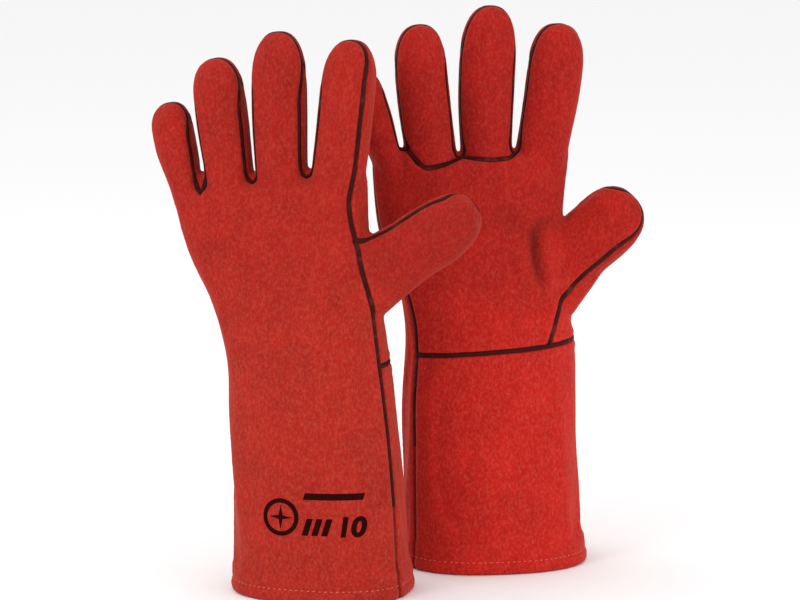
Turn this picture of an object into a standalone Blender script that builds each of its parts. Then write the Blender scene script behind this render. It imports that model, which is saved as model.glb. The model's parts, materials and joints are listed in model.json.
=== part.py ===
"""A pair of split leather welding gauntlets, size 10, standing on their cuff hems.

The left glove stands in front with its back forward. The right glove stands behind it, palm forward.
Each glove is a cuff, a hand and five digits, hinged at the wrist, the knuckles and the thumb's root.
In a glove's own frame X runs towards the thumb, Y towards the back of the hand and Z up the fingers.
Units are metres, +Z is up, and the origin is the middle of the pair's footprint on the ground.
"""

import math
from collections import namedtuple

import bmesh
import bpy
import numpy as np
from mathutils import Vector

# Sheet thicknesses and the room between them
LEATHER = 0.0014
HEM_FOLD = 0.0032
HEM_HEIGHT = 0.015
LINING_GAP = 0.0006
LINING = 0.0012
BODY_GAP = 0.0003

# A seam holds a flat welt, which fills the slot between two leather panels
WELT_HALF = 0.0010
WELT_PROUD = 0.0005
SEAM_HALF = 0.0013
PLAIN_SEAM_HALF = 0.00015

# Levels that both gloves share
WRIST = 0.146
HINGE_OFF_SURFACE = 0.0012
ROUNDNESS = 2.35

# Resolution of the shells
HAND_STEPS = 8
DIGIT_STEPS = 5
THUMB_ROWS = (1, 2, 3)
THUMB_COLUMNS = 2
CUFF_ROWS = (0.0, HEM_HEIGHT, HEM_HEIGHT + 0.001, 0.055, 0.100, WRIST - BODY_GAP)
DIGIT_ROWS = (0.0, 0.25, 0.5, 0.7, 0.84, 0.94, 1.0)
CAP_START = 0.66
CAP_POWER = 2.3

# Linear colours with roughness
FINISHES = {
    "red_leather": ((0.430, 0.027, 0.018), 0.85),
    "dark_welt": ((0.055, 0.012, 0.010), 0.70),
    "hand_lining": ((0.700, 0.640, 0.520), 0.95),
    "cuff_lining": ((0.520, 0.500, 0.420), 0.95),
}

Ring = namedtuple("Ring", "centre across half_width half_depth")
Station = namedtuple("Station", "height middle half_width half_depth")
Digit = namedtuple("Digit", "root middle tip root_half middle_half depth curl")
Glove = namedtuple("Glove", "name place yaw dorsal body knuckle slope digits thumb thumb_across hand_rows")

LEFT = Glove(
    name="left",
    place=(-0.053, -0.038),
    yaw=math.radians(-13),
    dorsal=-1,
    body=(
        Station(0.000, 0.000, 0.0560, 0.0460),
        Station(0.054, -0.002, 0.0540, 0.0430),
        Station(0.100, -0.005, 0.0525, 0.0380),
        Station(0.146, -0.009, 0.0500, 0.0315),
        Station(0.180, -0.016, 0.0520, 0.0265),
        Station(0.213, -0.027, 0.0565, 0.0225),
        Station(0.252, -0.033, 0.0610, 0.0185),
    ),
    knuckle=0.2535,
    slope=0.10,
    digits={
        "little": Digit((-0.0843, 0.0), (-0.0920, 0.2735), (-0.0972, 0.2985), 0.0099, 0.0125, 0.0135, 0.004),
        "ring": Digit((-0.0576, 0.0), (-0.0634, 0.2895), (-0.0685, 0.3265), 0.0149, 0.0155, 0.0150, 0.004),
        "middle": Digit((-0.0249, 0.0), (-0.0268, 0.2975), (-0.0278, 0.3440), 0.0160, 0.0168, 0.0155, 0.004),
        "index": Digit((0.0102, 0.0), (0.0150, 0.2975), (0.0190, 0.3400), 0.0173, 0.0165, 0.0150, 0.003),
    },
    thumb=Digit((0.0240, 0.1905), (0.0580, 0.2150), (0.0945, 0.2400), 0.0255, 0.0195, 0.0165, 0.006),
    thumb_across=(0.252, -0.968),
    hand_rows=(0.0, 0.16, 0.34, 0.53, 0.72, 0.86, 1.0),
)

RIGHT = Glove(
    name="right",
    place=(0.053, 0.038),
    yaw=math.radians(10),
    dorsal=1,
    body=(
        Station(0.000, 0.001, 0.0590, 0.0460),
        Station(0.069, -0.003, 0.0540, 0.0420),
        Station(0.104, -0.004, 0.0530, 0.0370),
        Station(0.146, -0.004, 0.0510, 0.0315),
        Station(0.172, -0.006, 0.0520, 0.0275),
        Station(0.215, -0.014, 0.0580, 0.0225),
        Station(0.256, -0.0145, 0.0625, 0.0185),
    ),
    knuckle=0.2575,
    slope=0.06,
    digits={
        "little": Digit((-0.0662, 0.0), (-0.0785, 0.2870), (-0.0865, 0.3140), 0.0093, 0.0120, 0.0135, 0.003),
        "ring": Digit((-0.0389, 0.0), (-0.0455, 0.3010), (-0.0490, 0.3425), 0.0162, 0.0158, 0.0150, 0.006),
        "middle": Digit((-0.0044, 0.0), (-0.0050, 0.3060), (-0.0030, 0.3535), 0.0165, 0.0168, 0.0155, 0.006),
        "index": Digit((0.0303, 0.0), (0.0375, 0.3010), (0.0400, 0.3415), 0.0162, 0.0168, 0.0150, 0.006),
    },
    thumb=Digit((0.0315, 0.1845), (0.0620, 0.2045), (0.0875, 0.2330), 0.0252, 0.0205, 0.0165, 0.006),
    thumb_across=(0.090, -0.996),
    hand_rows=(0.0, 0.10, 0.28, 0.47, 0.66, 0.83, 1.0),
)


def clear_scene():
    for obj in list(bpy.data.objects):
        bpy.data.objects.remove(obj, do_unlink=True)


def signed_power(value, exponent):
    return math.copysign(abs(value) ** exponent, value)


def smooth(value):
    value = min(max(value, 0.0), 1.0)
    return value * value * (3.0 - 2.0 * value)


def on_ring(ring, angle, lift=0.0, seam=0.0):
    """The point of a cross-section at an angle from its thumb side. The back of the hand is at 90 degrees."""
    exponent = 2.0 / ROUNDNESS
    across = (ring.half_width + lift) * signed_power(math.cos(angle), exponent)
    out = abs(signed_power(math.sin(angle), exponent)) * max(ring.half_depth + lift - seam, 0.0) + seam
    side = math.copysign(1.0, math.sin(angle))
    return ring.centre + ring.across * across + Vector((0.0, side * out, 0.0))


def half_row(ring, back, steps, lift=0.0, seam=SEAM_HALF):
    """Half a cross-section, from the thumb side to the little finger side, over the back or over the palm."""
    start, turn = 1e-9, math.pi - 2e-9
    sign = 1.0 if back else -1.0
    return [on_ring(ring, sign * (start + turn * i / steps), lift, seam) for i in range(steps + 1)]


def full_row(ring, steps):
    return [on_ring(ring, math.pi * i / steps) for i in range(2 * steps)]


def body_ring(glove, height, tilt=0.0, inset=0.0):
    """The cross-section of the cuff or the hand whose middle is at a height."""
    heights = [station.height for station in glove.body]
    middle = np.interp(height, heights, [station.middle for station in glove.body])
    half_width = np.interp(height, heights, [station.half_width for station in glove.body])
    half_depth = np.interp(height, heights, [station.half_depth for station in glove.body])
    centre = Vector((middle, 0.0, height))
    return Ring(centre, Vector((1.0, 0.0, tilt)), half_width - inset, half_depth - inset)


def knuckle_height(glove, x):
    return glove.knuckle + glove.slope * x


def hand_ring(glove, share, low, high, inset=0.0):
    """A cross-section of the hand, from level at the wrist to lying in the knuckle plane."""
    top = knuckle_height(glove, glove.body[-1].middle) - high
    bottom = WRIST + low
    return body_ring(glove, bottom + (top - bottom) * share, glove.slope * share, inset)


def digit_ring(glove, digit, share, inset=0.0):
    """A cross-section of a digit, at a share of the way from its root to its tip."""
    is_thumb = digit is glove.thumb
    root_height = digit.root[1] if is_thumb else knuckle_height(glove, digit.root[0])
    root = Vector((digit.root[0], 0.0, root_height))
    middle = Vector((digit.middle[0], 0.0, digit.middle[1]))
    tip = Vector((digit.tip[0], 0.0, digit.tip[1]))
    along = share * (1.0 - inset / (tip - root).length)
    centre = root * (1 - along) * (1 - 2 * along)
    centre += middle * 4 * along * (1 - along)
    centre += tip * along * (2 * along - 1)
    centre.y = -digit.curl * along**2
    root_across = Vector((1, 0, glove.slope))
    if is_thumb:
        root_across = Vector((glove.thumb_across[0], 0.0, glove.thumb_across[1]))
    run = (tip - middle).normalized()
    across = root_across.lerp(Vector((run.z, 0.0, -run.x)), smooth(2.0 * share))
    step_off = Vector((run.x, 0.0, run.z)) * BODY_GAP if is_thumb else Vector((0.0, 0.0, BODY_GAP))
    half_width = digit.root_half + (digit.middle_half - digit.root_half) * smooth(2.0 * share) - inset
    cap = max(share - CAP_START, 0.0) / (1.0 - CAP_START)
    scale = (1.0 - cap**CAP_POWER) ** (1.0 / CAP_POWER)
    return Ring(centre + step_off, across, half_width * scale, (digit.depth - inset) * scale)


def skin_mesh(outer, inner, closed, hole=()):
    """A sheet between two grids of points. A closed sheet is a tube.

    The hole lists the grid cells, as row and column, that the sheet leaves out.
    """
    mesh = bmesh.new()
    out, back = ([[mesh.verts.new(point) for point in row] for row in grid] for grid in (outer, inner))
    columns = len(outer[0])
    around = columns if closed else columns - 1
    cells = {(i, j) for i in range(len(outer) - 1) for j in range(around)} - set(hole)
    for i, j in sorted(cells):
        k = (j + 1) % columns
        before, after = ((j - 1) % columns, k) if closed else (j - 1, j + 1)
        corners = ((i, j), (i, k), (i + 1, k), (i + 1, j))
        neighbours = ((i - 1, j), (i, after), (i + 1, j), (i, before))
        mesh.faces.new([out[row][column] for row, column in corners])
        mesh.faces.new([back[row][column] for row, column in reversed(corners)])
        for side, neighbour in enumerate(neighbours):
            if neighbour not in cells:
                (row, column), (next_row, next_column) = corners[side], corners[(side + 1) % 4]
                here = (out[row][column], back[row][column])
                there = (back[next_row][next_column], out[next_row][next_column])
                mesh.faces.new(here + there)
    return mesh


def strip_mesh(sections):
    """A welt through sections of four corners each."""
    mesh = bmesh.new()
    rings = [[mesh.verts.new(point) for point in section] for section in sections]
    for low, high in zip(rings, rings[1:]):
        for j in range(4):
            mesh.faces.new((low[j], low[(j + 1) % 4], high[(j + 1) % 4], high[j]))
    mesh.faces.new(rings[0])
    mesh.faces.new(rings[-1])
    return mesh


def finish_material(name, finish):
    colour, roughness = FINISHES[finish]
    material = bpy.data.materials.new(name + "_material")
    material.use_nodes = True
    shader = material.node_tree.nodes["Principled BSDF"]
    shader.inputs["Base Color"].default_value = (*colour, 1.0)
    shader.inputs["Roughness"].default_value = roughness
    shader.inputs["Metallic"].default_value = 0.0
    material.diffuse_color = (*colour, 1.0)
    return material


def add_node(name, mesh, glove, body, finish):
    """Makes an object of a mesh in the glove's own frame and parents it to its body's empty."""
    pivot = body["pivot"]
    for vertex in mesh.verts:
        vertex.co = (vertex.co.x - pivot.x, glove.dorsal * (vertex.co.y - pivot.y), vertex.co.z - pivot.z)
    bmesh.ops.remove_doubles(mesh, verts=mesh.verts, dist=1e-6)
    bmesh.ops.recalc_face_normals(mesh, faces=mesh.faces)
    data = bpy.data.meshes.new(name)
    mesh.to_mesh(data)
    mesh.free()
    obj = bpy.data.objects.new(name, data)
    bpy.context.scene.collection.objects.link(obj)
    obj.parent = body["empty"]
    data.materials.append(finish_material(name, finish))
    data.shade_smooth()
    data.set_sharp_from_angle(angle=math.radians(35))
    return obj


def add_empty(name, parent, location, yaw=0.0):
    empty = bpy.data.objects.new(name, None)
    empty.empty_display_size = 0.02
    empty.location = location
    empty.rotation_euler = (0.0, 0.0, yaw)
    empty.parent = parent
    bpy.context.scene.collection.objects.link(empty)
    return empty


def add_body(glove, name, parent, pivot):
    """An empty on the body's joint axis, in the glove's own frame."""
    offset = pivot - parent["pivot"]
    place = (offset.x, glove.dorsal * offset.y, offset.z)
    empty = add_empty(f"{glove.name}_{name}_pivot", parent["empty"], place)
    return {"empty": empty, "pivot": pivot}


def add_cuff(glove, body):
    def rows(back, inner):
        made = []
        for height in CUFF_ROWS:
            folded = HEM_FOLD if height <= HEM_HEIGHT else LEATHER
            made.append(half_row(body_ring(glove, height), back, HAND_STEPS, -folded if inner else 0.0))
        return made

    for label, back in (("cuff_back", True), ("cuff_front", False)):
        panel = skin_mesh(rows(back, False), rows(back, True), False)
        add_node(f"{glove.name}_{label}", panel, glove, body, "red_leather")
    inset = LEATHER + LINING_GAP
    heights = (HEM_HEIGHT + 0.002, *CUFF_ROWS[3:])
    outer = [full_row(body_ring(glove, height, inset=inset), HAND_STEPS) for height in heights]
    inner = [full_row(body_ring(glove, height, inset=inset + LINING), HAND_STEPS) for height in heights]
    add_node(f"{glove.name}_cuff_lining", skin_mesh(outer, inner, True), glove, body, "cuff_lining")
    for label, side in (("thumb_side", 1.0), ("little_side", -1.0)):
        sections = [side_section(body_ring(glove, height), side) for height in (BODY_GAP, *CUFF_ROWS[3:])]
        add_node(f"{glove.name}_cuff_welt_{label}", strip_mesh(sections), glove, body, "dark_welt")


def side_section(ring, side, proud=WELT_PROUD, inner=None):
    """The welt's cross-section where a seam runs along one side of a ring."""
    inner = inner or ring
    outside = ring.centre + ring.across * side * (ring.half_width + proud)
    depth = LEATHER if inner is ring else 0.0
    inside = inner.centre + inner.across * side * max(inner.half_width - depth, 0.0)
    edge = Vector((0.0, WELT_HALF, 0.0))
    return (outside + edge, outside - edge, inside - edge, inside + edge)


def palm_welt(glove, low, high):
    """A welt that crosses the palm between two levels of the hand."""
    count = 2 * HAND_STEPS
    sections = []
    for i in range(1, count):
        angle = -math.pi * i / count
        sections.append(
            (
                on_ring(low, angle, WELT_PROUD),
                on_ring(high, angle, WELT_PROUD),
                on_ring(high, angle, -LEATHER),
                on_ring(low, angle, -LEATHER),
            )
        )
    return strip_mesh(sections)


def thumb_hole(columns):
    """The cells of the hand's grid that the thumb comes out of."""
    return [(row, column) for row in THUMB_ROWS for column in columns]


def add_hand(glove, body):
    slot = 2.0 * WELT_HALF
    past_welt = slot + 2.0 * BODY_GAP
    levels = {"hand_back": (BODY_GAP, BODY_GAP, True), "palm_panel": (past_welt, past_welt, False)}
    for label, (low, high, back) in levels.items():
        rings = [hand_ring(glove, share, low, high) for share in glove.hand_rows]
        outer = [half_row(ring, back, HAND_STEPS, 0.0, PLAIN_SEAM_HALF) for ring in rings]
        inner = [half_row(ring, back, HAND_STEPS, -LEATHER, PLAIN_SEAM_HALF) for ring in rings]
        panel = skin_mesh(outer, inner, False, thumb_hole(range(THUMB_COLUMNS)))
        add_node(f"{glove.name}_{label}", panel, glove, body, "red_leather")
    inset = LEATHER + LINING_GAP
    outer, inner = (
        [full_row(hand_ring(glove, share, BODY_GAP, BODY_GAP, room), HAND_STEPS) for share in glove.hand_rows]
        for room in (inset, inset + LINING)
    )
    both_sides = [*range(THUMB_COLUMNS), *range(2 * HAND_STEPS - THUMB_COLUMNS, 2 * HAND_STEPS)]
    lining = skin_mesh(outer, inner, True, thumb_hole(both_sides))
    add_node(f"{glove.name}_hand_lining", lining, glove, body, "hand_lining")
    low = hand_ring(glove, 0.0, BODY_GAP, 0.0)
    wrist = palm_welt(glove, low, hand_ring(glove, 0.0, BODY_GAP + slot, 0.0))
    add_node(f"{glove.name}_wrist_welt", wrist, glove, body, "dark_welt")
    base = palm_welt(glove, hand_ring(glove, 1.0, 0.0, BODY_GAP + slot), hand_ring(glove, 1.0, 0.0, BODY_GAP))
    add_node(f"{glove.name}_finger_base_welt", base, glove, body, "dark_welt")


def add_digit(glove, name, digit, body):
    rings = [digit_ring(glove, digit, share) for share in DIGIT_ROWS]
    inner_rings = [digit_ring(glove, digit, share, LEATHER) for share in DIGIT_ROWS]
    for label, back in (("back", True), ("front", False)):
        outer = [half_row(ring, back, DIGIT_STEPS) for ring in rings]
        inner = [half_row(ring, back, DIGIT_STEPS) for ring in inner_rings]
        add_node(f"{glove.name}_{name}_{label}", skin_mesh(outer, inner, False), glove, body, "red_leather")
    proud_rings = [digit_ring(glove, digit, share, -WELT_PROUD) for share in DIGIT_ROWS]
    pairs = list(zip(proud_rings, inner_rings))
    sections = [side_section(proud, 1.0, 0.0, inner) for proud, inner in pairs]
    sections += [side_section(proud, -1.0, 0.0, inner) for proud, inner in reversed(pairs[:-1])]
    add_node(f"{glove.name}_{name}_welt", strip_mesh(sections), glove, body, "dark_welt")
    inset = LEATHER + LINING_GAP
    outer, inner = (
        [full_row(digit_ring(glove, digit, share, room), DIGIT_STEPS) for share in DIGIT_ROWS]
        for room in (inset, inset + LINING)
    )
    add_node(f"{glove.name}_{name}_lining", skin_mesh(outer, inner, True), glove, body, "hand_lining")


def add_glove(glove, pair):
    origin = Vector((0.0, 0.0, 0.0))
    cuff_empty = add_empty(f"{glove.name}_cuff_pivot", pair, (*glove.place, 0.0), glove.yaw)
    cuff = {"empty": cuff_empty, "pivot": origin}
    wrist_ring = body_ring(glove, WRIST)
    wrist_axis = Vector((wrist_ring.centre.x, wrist_ring.half_depth + HINGE_OFF_SURFACE, WRIST))
    hand = add_body(glove, "hand", cuff, wrist_axis)
    add_cuff(glove, cuff)
    add_hand(glove, hand)
    knuckle_y = -(glove.body[-1].half_depth + HINGE_OFF_SURFACE)
    for name, digit in glove.digits.items():
        axis = Vector((digit.root[0], knuckle_y, knuckle_height(glove, digit.root[0])))
        add_digit(glove, name, digit, add_body(glove, name, hand, axis))
    thumb = glove.thumb
    thumb_axis = Vector((thumb.root[0], -(thumb.depth + HINGE_OFF_SURFACE), thumb.root[1]))
    add_digit(glove, "thumb", thumb, add_body(glove, "thumb", hand, thumb_axis))


def centre_on_footprint(pair):
    """Moves the pair so that the middle of its box is over the origin and its hems stand on the ground."""
    bpy.context.view_layer.update()
    corners = [
        obj.matrix_world @ Vector(corner)
        for obj in bpy.context.scene.objects
        if obj.type == "MESH" and not obj.hide_render
        for corner in (vertex.co for vertex in obj.data.vertices)
    ]
    low = [min(corner[i] for corner in corners) for i in range(3)]
    high = [max(corner[i] for corner in corners) for i in range(3)]
    pair.location = (-(low[0] + high[0]) / 2.0, -(low[1] + high[1]) / 2.0, -low[2])


def main():
    clear_scene()
    pair = add_empty("pair", None, (0.0, 0.0, 0.0))
    for glove in (LEFT, RIGHT):
        add_glove(glove, pair)
    centre_on_footprint(pair)


main()
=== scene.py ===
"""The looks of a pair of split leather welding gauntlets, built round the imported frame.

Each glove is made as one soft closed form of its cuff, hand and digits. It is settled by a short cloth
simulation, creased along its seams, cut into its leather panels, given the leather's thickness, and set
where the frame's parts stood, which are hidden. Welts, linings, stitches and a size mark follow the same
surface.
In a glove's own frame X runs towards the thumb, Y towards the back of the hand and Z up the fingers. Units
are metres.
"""

import json
import math
from collections import namedtuple

import bmesh
import bpy
import numpy as np
from mathutils import Matrix, Vector, kdtree, noise
from mathutils.bvhtree import BVHTree


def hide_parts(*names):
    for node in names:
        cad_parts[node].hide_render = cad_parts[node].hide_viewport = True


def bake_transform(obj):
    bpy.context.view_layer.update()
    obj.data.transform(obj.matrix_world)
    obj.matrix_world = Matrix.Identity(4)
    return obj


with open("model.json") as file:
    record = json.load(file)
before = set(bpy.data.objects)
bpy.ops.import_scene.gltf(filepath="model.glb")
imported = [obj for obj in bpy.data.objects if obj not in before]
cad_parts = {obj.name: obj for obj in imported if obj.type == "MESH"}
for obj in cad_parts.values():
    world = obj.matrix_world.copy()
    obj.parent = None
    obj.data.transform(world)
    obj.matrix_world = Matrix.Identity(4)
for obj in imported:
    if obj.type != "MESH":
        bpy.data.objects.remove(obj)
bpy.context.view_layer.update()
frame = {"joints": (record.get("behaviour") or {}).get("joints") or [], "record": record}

# Sheets
LEATHER = 0.0013
LINING = 0.0010
LINING_INSET = 0.0024
LINING_CLEARANCE = 0.0004
CUFF_HALF_DEPTH = 0.046
HEM_FOLD = 0.0032
HEM_RELIEF = 0.0005
HEM_STEP = 0.0007
HEM_EDGE = 0.0012

# Levels
WRIST = 0.146
HEM_STITCH_HEIGHT = 0.0078
HEM_FOLD_HEIGHT = 0.0155
BELOW_HEM = 0.012
LITTLE_SEAM_TURNS = 0.235
WRIST_SEAM_DROP = 0.0065
WRIST_SEAM_SLOPE = 0.0035

# Settling of the leather between its seams
SETTLING_VOXEL = 0.0045
SETTLING_FRAMES = 24
SETTLING_LIMIT = 0.0016

# Where the digits' pieces start, above the knuckles and above the ground
DIGITS_FROM = 0.0085
THUMBS_FROM = 0.1555

# Where each region's bend line starts and stops, past each joint's axis, and the way out along the thumb
WRIST_BEND = (-0.020, 0.008)
DIGIT_BEND = (0.008, 0.027)
THUMB_BEND = (0.020, 0.046)
THUMB_OUT = (0.910, 0.415)

# The closed form
VOXEL = 0.0014
LINING_VOXEL = 0.0032
ROUNDNESS = 2.35
RING_POINTS = 48
CAP_START = 0.64
CAP_POWER = 2.4
WEB_RADII = (0.0050, 0.0120, 0.0110)
PADS = ((0.186, (0.024, 0.017, 0.036)), (0.190, (0.020, 0.014, 0.036)))

# Seams: how far from the extreme side of the glove each one runs
SIDE_SEAM = math.radians(20)
CUFF_LITTLE_SEAM = math.radians(-22)
LITTLE_OUTER_SEAM = math.radians(6)
BACK_SEAM = math.radians(28)
PALM_SEAM = {1.0: math.radians(-27), -1.0: math.radians(-4)}
PALM_SEAM_FLARE = math.radians(-14)
INDEX_OUTER_SEAM = math.radians(46)
INDEX_TIP_SEAM = math.radians(24)
TIP_SEAM = {"left": math.radians(4), "right": math.radians(-8)}
THUMB_UPPER_SEAM = math.radians(26)
THUMB_LOWER_SEAM = math.radians(-60)
THUMB_TIP_SEAM = {"left": math.radians(-48), "right": math.radians(-32)}
THUMB_SEAM_END = math.radians(-56)

# Welts, and the shape of the leather beside them
WELT_HALF = 0.0014
WELT_PROUD = 0.0007
WELT_STEP = 0.0014
WELT_TAPER = 0.007
THUMB_WELT_BREADTH = 1.25
WELT_ENDS = {"left": (0.057, 0.070), "right": (0.060, 0.078)}
GROOVE_DEPTH = 0.0011
GROOVE_HALF = 0.0015
FOLD_DEPTH = 0.0050
PUFF_HEIGHT = 0.00055
PUFF_AWAY = 0.0042
PUFF_HALF = 0.0022

# Stitches and ink
STITCH_STEP = 0.0036
STITCH_LENGTH = 0.0026
STITCH_HALF = 0.00042
STITCH_SUNK = 0.00020
MARK_CENTRE = (-0.0165, 0.0525)
MARK_EDGE = 0.0014
INK_PROUD = 0.00012

# How each glove's leather is tinted on the cuff, the fingers and the thumb, against its base colour: partly
# hue, partly painted light and shade, with the cuff painted lighter and the fingers and thumb darker
TINTS_AND_PAINTED_LIGHT = {
    "left": ((1.00, 0.99, 0.93), (0.94, 0.75, 0.73), (0.86, 0.63, 0.63)),
    "right": ((1.24, 1.02, 0.98), (0.95, 0.74, 0.72), (0.98, 0.72, 0.65)),
}

Ring = namedtuple("Ring", "centre across half_width half_depth")
Station = namedtuple("Station", "height middle half_width half_depth")
Digit = namedtuple("Digit", "root middle tip root_half middle_half depth curl")
Glove = namedtuple(
    "Glove", "name dorsal body knuckle slope digits thumb thumb_across pads heel webs back_feet palm_feet"
)

LEFT = Glove(
    name="left",
    dorsal=-1,
    body=(
        Station(0.000, 0.000, 0.0560, 0.0460),
        Station(0.054, -0.002, 0.0540, 0.0430),
        Station(0.100, -0.005, 0.0525, 0.0380),
        Station(0.146, -0.009, 0.0500, 0.0315),
        Station(0.180, -0.016, 0.0520, 0.0265),
        Station(0.213, -0.027, 0.0565, 0.0225),
        Station(0.252, -0.033, 0.0610, 0.0185),
    ),
    knuckle=0.2535,
    slope=0.10,
    digits={
        "little": Digit((-0.0845, 0.0), (-0.0926, 0.2735), (-0.0974, 0.2985), 0.0092, 0.0121, 0.0135, 0.004),
        "ring": Digit((-0.0574, 0.0), (-0.0630, 0.2895), (-0.0683, 0.3265), 0.0138, 0.0153, 0.0150, 0.004),
        "middle": Digit((-0.0249, 0.0), (-0.0268, 0.2975), (-0.0278, 0.3440), 0.0152, 0.0163, 0.0155, 0.004),
        "index": Digit((0.0102, 0.0), (0.0150, 0.2975), (0.0190, 0.3400), 0.0168, 0.0165, 0.0150, 0.003),
    },
    thumb=Digit((0.0240, 0.1905), (0.0580, 0.2150), (0.0945, 0.2400), 0.0255, 0.0195, 0.0165, 0.006),
    thumb_across=(0.252, -0.968),
    pads=(0.0100, -0.0400),
    heel=None,
    webs=(0.0110, 0.0080, 0.0080),
    back_feet=(0.0000, 0.0035, 0.0060),
    palm_feet=(0.0095, 0.0035, 0.0035),
)

RIGHT = Glove(
    name="right",
    dorsal=1,
    body=(
        Station(0.000, 0.001, 0.0590, 0.0460),
        Station(0.069, -0.002, 0.0550, 0.0420),
        Station(0.104, -0.0022, 0.0548, 0.0370),
        Station(0.146, -0.002, 0.0530, 0.0315),
        Station(0.172, -0.006, 0.0520, 0.0275),
        Station(0.215, -0.014, 0.0580, 0.0225),
        Station(0.256, -0.0145, 0.0625, 0.0185),
    ),
    knuckle=0.2575,
    slope=0.06,
    digits={
        "little": Digit((-0.0662, 0.0), (-0.0785, 0.2870), (-0.0865, 0.3140), 0.0092, 0.0120, 0.0135, 0.003),
        "ring": Digit((-0.0389, 0.0), (-0.0455, 0.3010), (-0.0490, 0.3425), 0.0153, 0.0158, 0.0150, 0.006),
        "middle": Digit((-0.0044, 0.0), (-0.0050, 0.3060), (-0.0030, 0.3535), 0.0156, 0.0170, 0.0155, 0.006),
        "index": Digit((0.0303, 0.0), (0.0375, 0.3010), (0.0400, 0.3415), 0.0165, 0.0170, 0.0150, 0.006),
    },
    thumb=Digit((0.0315, 0.1840), (0.0620, 0.2045), (0.0875, 0.2325), 0.0262, 0.0210, 0.0165, 0.006),
    thumb_across=(0.090, -0.996),
    pads=(0.0175, -0.0300),
    heel=((0.0359, 0.0, 0.1566), (0.0635, 0.0, 0.1953), 0.0120, 0.0135),
    webs=(0.0115, 0.0050, 0.0045),
    back_feet=(0.0010, 0.0010, 0.0010),
    palm_feet=(0.0095, 0.0030, 0.0030),
)


# ---- small helpers

def smooth(value):
    value = min(max(value, 0.0), 1.0)
    return value * value * (3.0 - 2.0 * value)


def signed_power(value, exponent):
    return math.copysign(abs(value) ** exponent, value)


def named(rows, name):
    return next(row for row in rows if row["name"] == name)


def placement(glove):
    """The matrix from a glove's own frame to the row's, read from its wrist joint and its hem mount."""
    axis = Vector(named(frame["joints"], f"{glove.name}_wrist_bend")["axis"]) * -glove.dorsal
    turn = Matrix.Rotation(math.atan2(axis.y, axis.x), 4, "Z")
    mount = Vector(named(frame["record"]["mounts"], f"{glove.name}_cuff_hem")["pos_m"])
    hem = Vector((0.0, glove.dorsal * (CUFF_HALF_DEPTH - HEM_FOLD / 2), 0.0))
    return Matrix.Translation(mount - turn @ hem) @ turn @ Matrix.Diagonal((1, glove.dorsal, 1, 1))


def link(name, mesh):
    obj = bpy.data.objects.new(name, mesh)
    bpy.context.scene.collection.objects.link(obj)
    return obj


def mesh_from(form, name):
    """A mesh with a bmesh's faces, turned outwards. The bmesh is freed."""
    bmesh.ops.recalc_face_normals(form, faces=form.faces)
    mesh = bpy.data.meshes.new(name)
    form.to_mesh(mesh)
    form.free()
    return mesh


def in_plane(x, z):
    """A point in the glove's middle plane."""
    return Vector((x, 0.0, z))


# ---- lofts

def on_ring(ring, angle):
    """The point of a rounded section at an angle from its thumb side. 90 degrees is the back of the hand."""
    exponent = 2.0 / ROUNDNESS
    across = ring.half_width * signed_power(math.cos(angle), exponent)
    out = ring.half_depth * signed_power(math.sin(angle), exponent)
    return ring.centre + ring.across * across + Vector((0.0, out, 0.0))


def eased(height, heights, values):
    """Interpolation whose slope is continuous from station to station."""
    slopes = np.gradient(values, heights)
    i = int(np.clip(np.searchsorted(heights, height) - 1, 0, len(heights) - 2))
    span = heights[i + 1] - heights[i]
    t = min(max((height - heights[i]) / span, 0.0), 1.0)
    a, b = values[i], values[i + 1]
    return (
        (2 * t**3 - 3 * t**2 + 1) * a
        + (t**3 - 2 * t**2 + t) * span * slopes[i]
        + (-2 * t**3 + 3 * t**2) * b
        + (t**3 - t**2) * span * slopes[i + 1]
    )


def body_ring(glove, height, tilt, inset):
    heights, *columns = zip(*glove.body)
    middle, half_width, half_depth = (eased(height, heights, column) for column in columns)
    return Ring(in_plane(middle, height), in_plane(1.0, tilt), half_width - inset, half_depth - inset)


def knuckle_height(glove, x):
    return glove.knuckle + glove.slope * x


def hand_ring(glove, height, inset=0.0):
    """A cross-section of the cuff or hand, tilting from level at the wrist to the slope of the knuckles."""
    top = knuckle_height(glove, glove.body[-1].middle)
    return body_ring(glove, height, glove.slope * min(max((height - WRIST) / (top - WRIST), 0.0), 1.0), inset)


def digit_ring(glove, digit, share, inset=0.0):
    """A cross-section of a digit. A share below nought reaches back into the hand."""
    is_thumb = digit is glove.thumb
    root = in_plane(digit.root[0], digit.root[1] if is_thumb else knuckle_height(glove, digit.root[0]))
    middle, tip = in_plane(*digit.middle), in_plane(*digit.tip)
    along = share * (1.0 - inset / (tip - root).length)
    centre = root * (1 - along) * (1 - 2 * along) + middle * 4 * along * (1 - along)
    centre += tip * along * (2 * along - 1)
    centre.y = -digit.curl * along * abs(along)
    root_across = in_plane(*glove.thumb_across) if is_thumb else in_plane(1.0, glove.slope)
    run = (tip - middle).normalized()
    across = root_across.lerp(in_plane(run.z, -run.x), smooth(2.0 * share))
    half_width = digit.root_half + (digit.middle_half - digit.root_half) * smooth(2.0 * share) - inset
    cap = max(share - CAP_START, 0.0) / (1.0 - CAP_START)
    scale = (1.0 - min(cap, 1.0) ** CAP_POWER) ** (1.0 / CAP_POWER)
    return Ring(centre, across, half_width * scale, (digit.depth - inset) * scale)


def close_rows(form, rows):
    """Joins rows of points into a closed solid, with a face across each end."""
    for low, high in zip(rows, rows[1:]):
        for i in range(len(low)):
            j = (i + 1) % len(low)
            form.faces.new((low[i], low[j], high[j], high[i]))
    form.faces.new(rows[0])
    form.faces.new(rows[-1])


def loft_into(form, rings):
    """Adds a closed solid through rings to a bmesh."""
    turns = [2 * math.pi * i / RING_POINTS for i in range(RING_POINTS)]
    close_rows(form, [[form.verts.new(on_ring(ring, turn)) for turn in turns] for ring in rings])


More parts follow.
